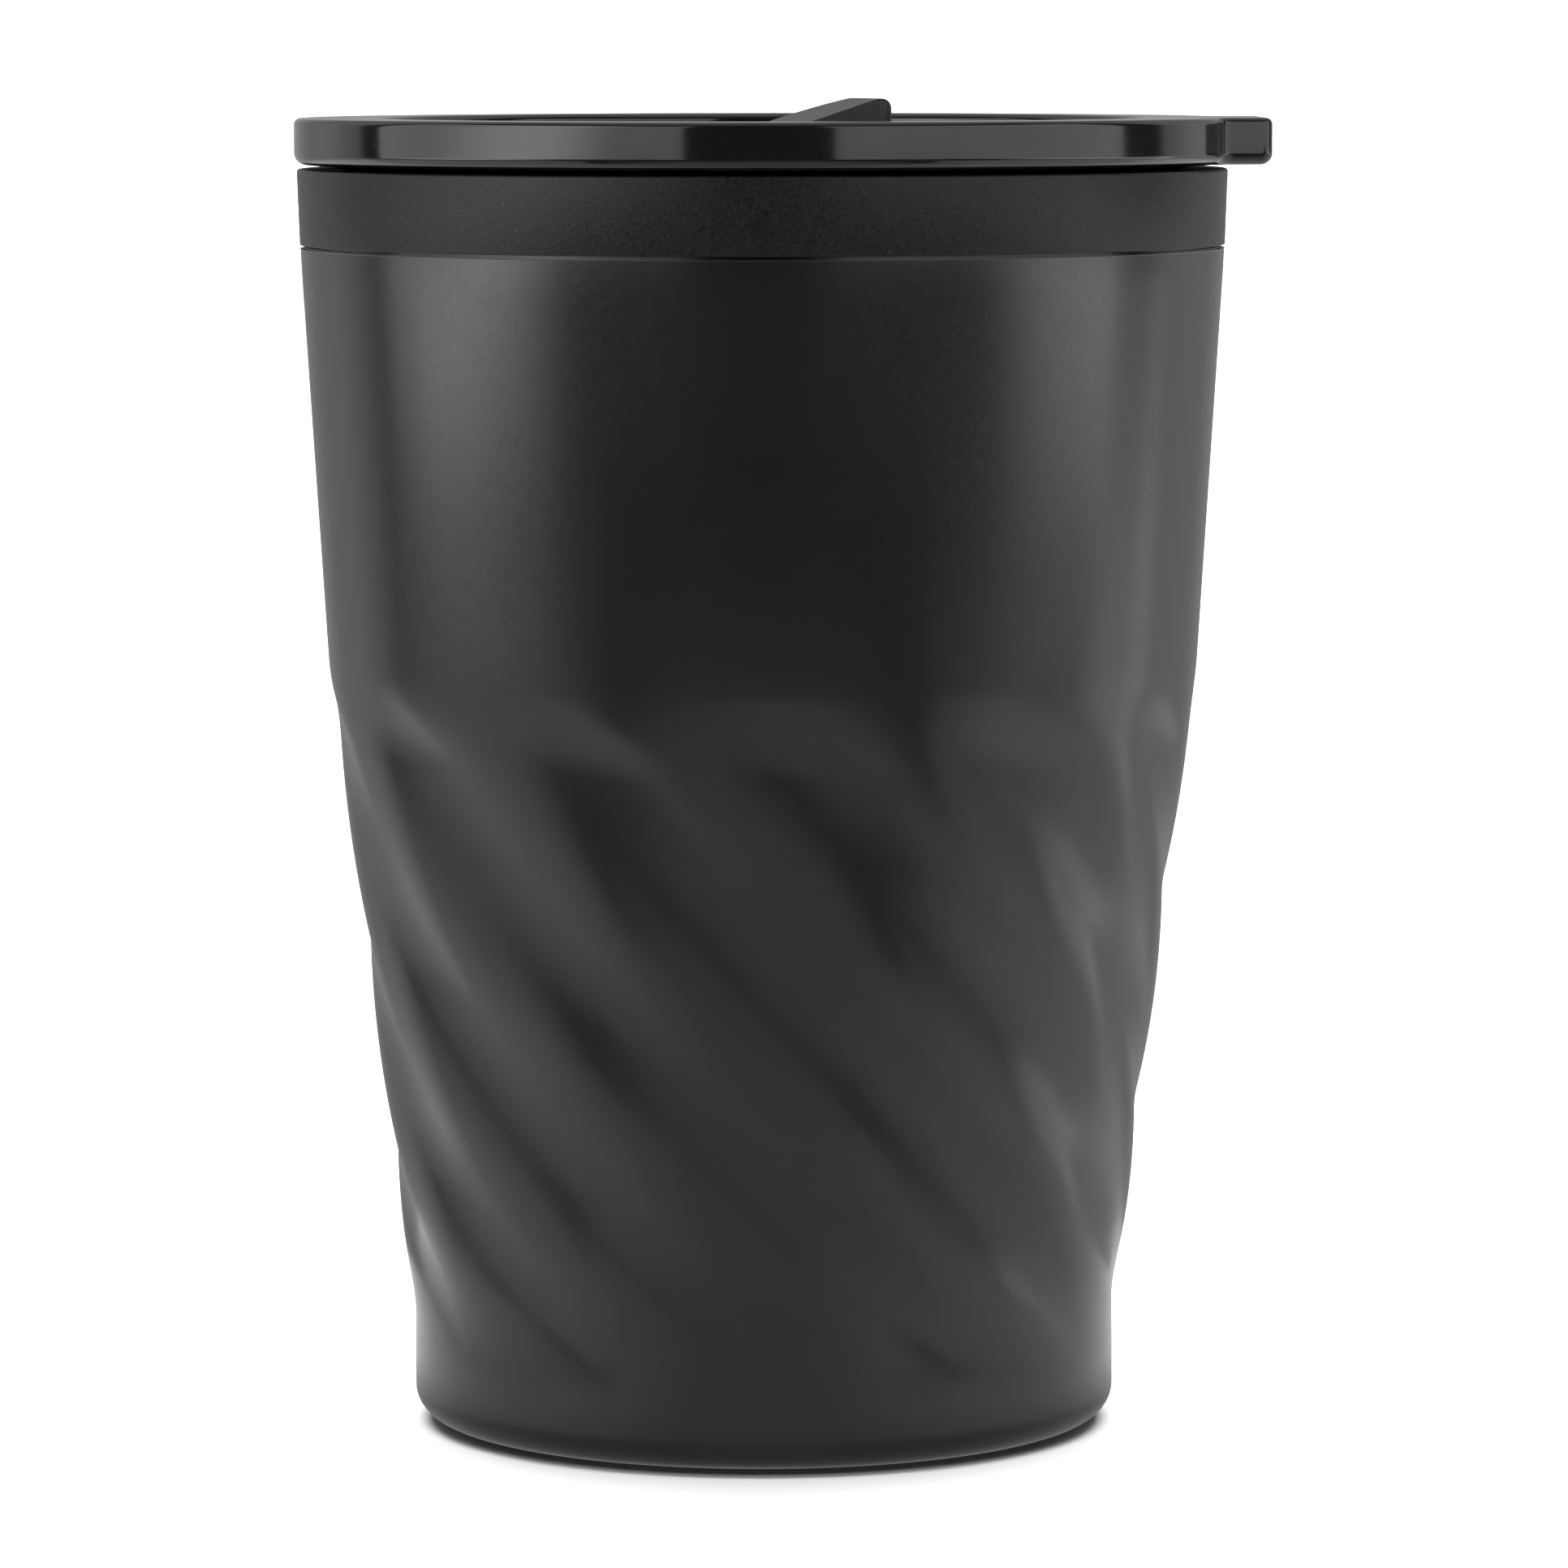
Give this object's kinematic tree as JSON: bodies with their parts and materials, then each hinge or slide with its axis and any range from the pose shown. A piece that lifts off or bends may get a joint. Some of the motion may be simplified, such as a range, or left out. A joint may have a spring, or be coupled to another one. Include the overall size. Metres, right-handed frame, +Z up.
{
  "type": "insulated tumbler with lid",
  "caption": "Double-wall insulated tumbler: tapered round body with a twisted faceted lower part, matte rim collar and gloss press-in lid with lift tab and turning sip closure.",
  "frame": {"origin": "middle of the base pad's underside, on the cup's axis", "axes": "+Z up along the cup's axis, +X towards the lid's lift tab, +Y to the back"},
  "size_m": [0.0925, 0.089, 0.1268],
  "materials": {
    "shell_coat": "satin black powder coat on stainless steel",
    "plain_steel": "brushed stainless steel",
    "solder": "grey glass solder",
    "getter_metal": "sintered dark grey metal",
    "silicone": "matte dark silicone",
    "collar_plastic": "fine-grained matte black moulding",
    "lid_gloss": "polished black moulding",
    "insert_plastic": "smooth matte black moulding",
    "closure_plastic": "fine satin black moulding"
  },
  "bodies": {
    "cup": {"outer_shell": "shell_coat", "shell_base": "plain_steel", "vacuum_seal": "solder", "getter": "getter_metal", "base_pad": "silicone", "inner_liner": "plain_steel", "rim_collar": "collar_plastic", "collar_gasket": "silicone"},
    "lid": {"lid_disc": "lid_gloss", "lid_insert": "insert_plastic", "lid_gasket": "silicone", "slot_seal": "silicone", "hub_ring": "silicone"},
    "closure": {"closure_rotor": "closure_plastic", "pivot_screw": "plain_steel", "spring_washer": "plain_steel"}
  },
  "joints": [
    {"name": "lid_lift", "type": "slide", "parent": "cup", "child": "lid", "axis": [0, 0, 1], "range_m": [0, 0.05]},
    {"name": "closure_turn", "type": "hinge", "parent": "lid", "child": "closure", "pos_m": [0, 0, 0.1219], "axis": [0, 0, 1], "range_deg": [-18, 72]}
  ]
}
